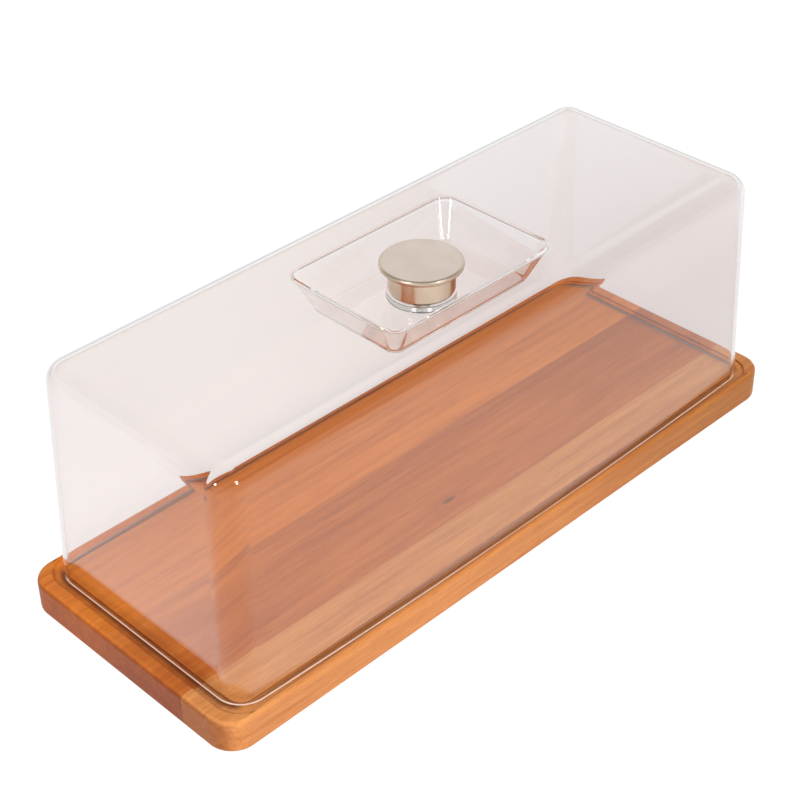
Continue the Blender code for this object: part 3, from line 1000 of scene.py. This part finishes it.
def place_lamp(name, light, azimuth, elevation, distance, width, height, mirrored):
    """A lamp that faces the board's left half. light is its share of full light on a surface square to it.

    A lamp of power P and area A has radiance P / (pi A), which at distance d gives P / (pi d squared). A
    lamp that isn't mirrored lights the board without showing in what shines.
    """
    towards = looking_back(math.radians(azimuth), math.radians(elevation))
    data = bpy.data.lights.new(name, "AREA")
    data.shape = "RECTANGLE"
    data.size, data.size_y = width, height
    data.energy = light * math.pi * math.pi * distance**2
    data.spread = LAMP_SPREAD
    lamp = bpy.data.objects.new(name, data)
    lamp.location = LAMP_AIM + towards * distance
    lamp.rotation_euler = towards.to_track_quat("Z", "Y").to_euler()
    lamp.visible_glossy = lamp.visible_transmission = mirrored
    bpy.context.scene.collection.objects.link(lamp)


def light_room(size):
    """The room is bright at the horizon and dim overhead, and plain white where it is looked at directly.

    What mirrors it sees a bright wall behind the board, a darker one in front and dim ones beside it. Through
    the cover it is white about the horizon, and dusky higher up, where only the cover's edges send rays.
    """
    world = bpy.data.worlds.new("room")
    bpy.context.scene.world = world
    room = Finish(world)
    along, across, up = room.axes(room.value("TexCoord", output="Generated"))
    ahead = (along + across) * math.sqrt(0.5)
    behind, near = ahead.step(0.25, 0.75), ahead.step(-0.45, -0.90)
    glow = size.horizon + (size.zenith - size.horizon) * up.clamped()

    shine = size.dim_side + behind * (size.bright_side - size.dim_side)
    shine = shine + near * (size.near_side - size.dim_side)
    shine = shine + room.mirrorings().over(MOST_MIRRORINGS) * (size.deep_mirror - shine)
    glow = glow + room.ray("Glossy") * (shine - glow)

    through = room.ray("Transmission")
    level = up.step(0.36, 0.22)
    high = size.high_room + behind * (1 - size.high_room)
    glow = glow + through * (high + level * (size.level_room - high) - glow)
    tone = room.mixed(through * (1 - level), WHITE, tuple(size.deep_room))

    seen = room.ray("Camera")
    light = room.value("Background", sockets={"Color": tone, "Strength": seen + (1 - seen) * glow})
    room.ends(light, "OutputWorld")


def lay_floor(size):
    """A wide pale floor. Looked at, it is white but for the object's soft shadow; as a light it is pale grey.

    Through the clear cover it is a little shaded, most of all in a patch beside the board's right end. shaded
    adds up these shares: everywhere, in the patch, on the left, mirrored in the back wall, and mirrored.
    """
    made, floor = new_material("pale_floor")
    plain, dim = (
        floor.value("BsdfDiffuse", sockets={"Color": (grey, grey, grey, 1.0)}) for grey in (0.80, 0.30)
    )
    x, y, _ = floor.axes(floor.place())
    off_x, off_y = x - 0.24, y + 0.02
    patch = ((off_x * off_x + off_y * off_y) ** 0.5).step(0.32, 0.0)
    through = floor.ray("Transmission")
    doubled = through * floor.mirrorings().clamped()
    shaded = through * (0.17 + patch * 0.28 + x.step(0.02, -0.10) * 0.05)
    shaded = shaded + doubled * y.step(0.02, 0.10) * 0.20 + (1 - through) * floor.ray("Glossy") * 0.15
    tone = floor.mixed(shaded.clamped(), WHITE, FLOOR_SHADE)
    glow = floor.value("Emission", sockets={"Color": tone, "Strength": size.floor_glow})
    bright = floor.value("AddShader", sockets={0: dim, 1: glow})
    floor.ends(floor.both(floor.ray("Camera", "Glossy", "Transmission"), plain, bright))

    signs = np.array(((-1, -1), (1, -1), (1, 1), (-1, 1)), float)
    corners = np.column_stack((FLOOR_HALF * signs, np.full(4, -FLOOR_DROP)))
    mesh = bpy.data.meshes.new("floor")
    mesh.from_pydata(corners, [], [(0, 1, 2, 3)])
    mesh.materials.append(made)
    ground = bpy.data.objects.new("floor", mesh)
    bpy.context.scene.collection.objects.link(ground)


class StageOperator(bpy.types.Operator):
    """Set up the camera, the pale floor, the room, its two soft lamps and the two that show as glints"""

    bl_idname = "cake_box.stage"
    bl_label = "Stage"

    def execute(self, context):
        size = context.scene.cake_stage
        context.scene.view_settings.view_transform = "Standard"
        place_camera(size)
        lay_floor(size)
        light_room(size)
        for name, given in LAMPS.items():
            place_lamp(name, getattr(size, name), *given)
        return {"FINISHED"}


OPERATORS = (StageOperator, StavesOperator, CoverOperator, KnobOperator, ScrewOperator, WashersOperator)


class CakeBoxPanel(bpy.types.Panel):
    """Lists the stage and the pieces in the order in which they are built"""

    bl_idname = "VIEW3D_PT_cake_box"
    bl_label = "Cake Box"
    bl_space_type = "VIEW_3D"
    bl_region_type = "UI"
    bl_category = "Cake Box"

    def draw(self, context):
        for operator in OPERATORS:
            self.layout.operator(operator.bl_idname)
        for name, group in SETTINGS.items():
            box = self.layout.box()
            for key in group.__annotations__:
                box.prop(getattr(context.scene, name), key)


CLASSES = (*SETTINGS.values(), *OPERATORS, CakeBoxPanel)


def register():
    for cls in CLASSES:
        bpy.utils.register_class(cls)
    for name, group in SETTINGS.items():
        setattr(bpy.types.Scene, name, bpy.props.PointerProperty(type=group))


def unregister():
    for name in SETTINGS:
        delattr(bpy.types.Scene, name)
    for cls in reversed(CLASSES):
        bpy.utils.unregister_class(cls)


def main():
    register()
    bpy.ops.cake_box.stage()
    bpy.ops.cake_box.staves()
    bpy.ops.cake_box.cover()
    bpy.ops.cake_box.knob()
    bpy.ops.cake_box.screw()
    bpy.ops.cake_box.washers()


if __name__ == "__main__":
    main()
